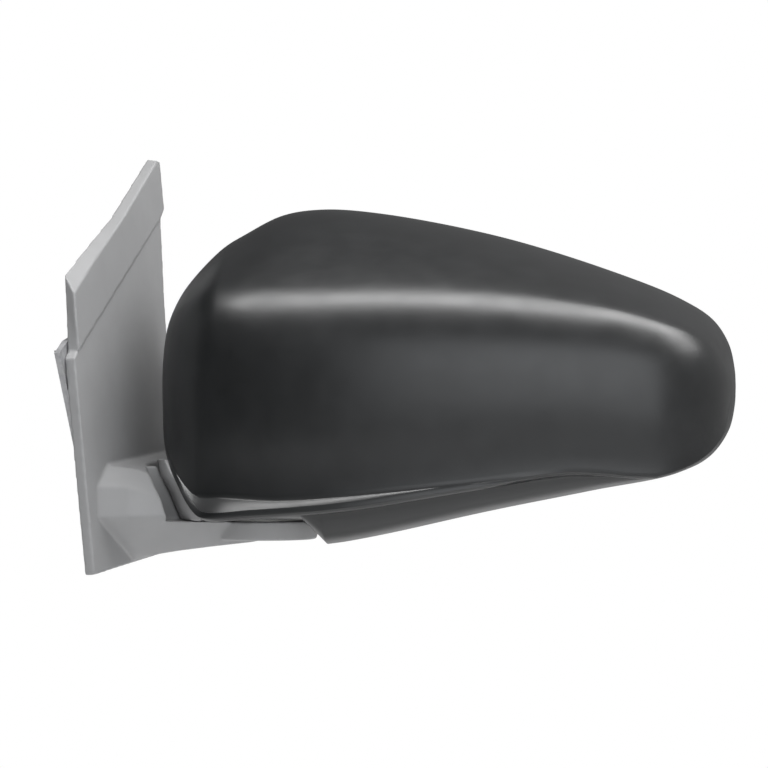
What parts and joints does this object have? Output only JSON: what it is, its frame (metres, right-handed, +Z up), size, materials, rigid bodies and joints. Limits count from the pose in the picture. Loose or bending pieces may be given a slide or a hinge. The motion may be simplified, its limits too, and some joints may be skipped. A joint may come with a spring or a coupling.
{
  "type": "car side mirror",
  "caption": "Left-hand car door mirror: sail-shaped base with an arm, folding black housing and a tilting convex glass with its drive.",
  "frame": {"origin": "on the door-side mounting face, level with the middle of the housing and straight inboard of the fold pivot", "axes": "+X outboard away from the door, +Y to the car's rear, +Z up along the fold pivot"},
  "size_m": [0.2779, 0.1435, 0.1766],
  "materials": {
    "grey_plastic": "satin moulded grain",
    "black_shell": "satin black",
    "black_moulding": "fine grain black",
    "cast_alloy": "as cast",
    "filled_nylon": "glass filled",
    "rubber": "matte",
    "zinc_steel": "zinc plated",
    "spring_steel": "oiled",
    "acetal": "natural",
    "case_plastic": "moulded",
    "motor_can": "plated",
    "brass": "turned",
    "heater_film": "film",
    "mirror_silver": "convex first-surface look"
  },
  "bodies": {
    "base": {"base_cover": "grey_plastic", "base_bracket": "cast_alloy", "base_gasket": "rubber", "mounting_studs": "zinc_steel", "locating_peg": "acetal", "wiring_grommet": "rubber", "cover_screws": "zinc_steel", "pivot_tube": "zinc_steel", "thrust_washer": "acetal", "pivot_spring": "spring_steel", "spring_retainer": "zinc_steel"},
    "head": {"front_cap": "black_shell", "lower_cover": "black_shell", "rear_housing": "black_moulding", "head_foot": "grey_plastic", "head_frame": "filled_nylon", "frame_screws": "zinc_steel", "actuator_case_front": "case_plastic", "actuator_case_rear": "case_plastic", "actuator_screws": "zinc_steel", "motor_vertical": "motor_can", "motor_horizontal": "motor_can", "wiring_socket": "case_plastic"},
    "gimbal": {"gimbal_ring": "acetal"},
    "glass": {"swivel_plate": "black_moulding", "glass_backing": "black_moulding", "heater_pad": "heater_film", "heater_terminals": "brass", "mirror_glass": "mirror_silver"},
    "plunger_v": {"plunger_vertical": "acetal"},
    "plunger_h": {"plunger_horizontal": "acetal"},
    "wheel_v": {"worm_wheel_vertical": "acetal"},
    "wheel_h": {"worm_wheel_horizontal": "acetal"},
    "worm_v": {"worm_vertical": "brass"},
    "worm_h": {"worm_horizontal": "brass"}
  },
  "joints": [
    {"name": "fold", "type": "hinge", "parent": "base", "child": "head", "pos_m": [0.067, 0, -0.02], "axis": [0, 0, 1], "range_deg": [-50, 65]},
    {"name": "tilt_horizontal", "type": "hinge", "parent": "head", "child": "gimbal", "pos_m": [0.15315, 0.0355, 0.005], "axis": [0, 0, 1], "range_deg": [-6, 6]},
    {"name": "tilt_vertical", "type": "hinge", "parent": "gimbal", "child": "glass", "pos_m": [0.15315, 0.0355, 0.005], "axis": [0.9848, 0.1736, 0], "range_deg": [-6, 6]},
    {"name": "plunger_travel_v", "type": "slide", "parent": "head", "child": "plunger_v", "axis": [-0.1736, 0.9848, 0], "range_m": [-0.003, 0.003]},
    {"name": "plunger_travel_h", "type": "slide", "parent": "head", "child": "plunger_h", "axis": [-0.1736, 0.9848, 0], "range_m": [-0.003, 0.003]},
    {"name": "wheel_turn_v", "type": "hinge", "parent": "head", "child": "wheel_v", "pos_m": [0.15723, 0.01235, 0.031], "axis": [-0.1736, 0.9848, 0], "range_deg": [-135, 135]},
    {"name": "wheel_turn_h", "type": "hinge", "parent": "head", "child": "wheel_h", "pos_m": [0.18283, 0.01687, 0.005], "axis": [-0.1736, 0.9848, 0], "range_deg": [-135, 135]},
    {"name": "worm_turn_v", "type": "hinge", "parent": "head", "child": "worm_v", "pos_m": [0.15723, 0.01235, 0.0198], "axis": [0.9848, 0.1736, 0], "range_deg": [-1600, 1600]},
    {"name": "worm_turn_h", "type": "hinge", "parent": "head", "child": "worm_h", "pos_m": [0.1718, 0.01493, 0.005], "axis": [0, 0, -1], "range_deg": [-1600, 1600]}
  ],
  "couplings": [
    {"joint": "plunger_travel_v", "follows": "tilt_vertical", "m_per_rad": -0.026},
    {"joint": "plunger_travel_h", "follows": "tilt_horizontal", "m_per_rad": 0.026},
    {"joint": "wheel_turn_v", "follows": "tilt_vertical", "ratio": -20.42},
    {"joint": "wheel_turn_h", "follows": "tilt_horizontal", "ratio": 20.42},
    {"joint": "worm_turn_v", "follows": "tilt_vertical", "ratio": -245.04},
    {"joint": "worm_turn_h", "follows": "tilt_horizontal", "ratio": 245.04}
  ]
}
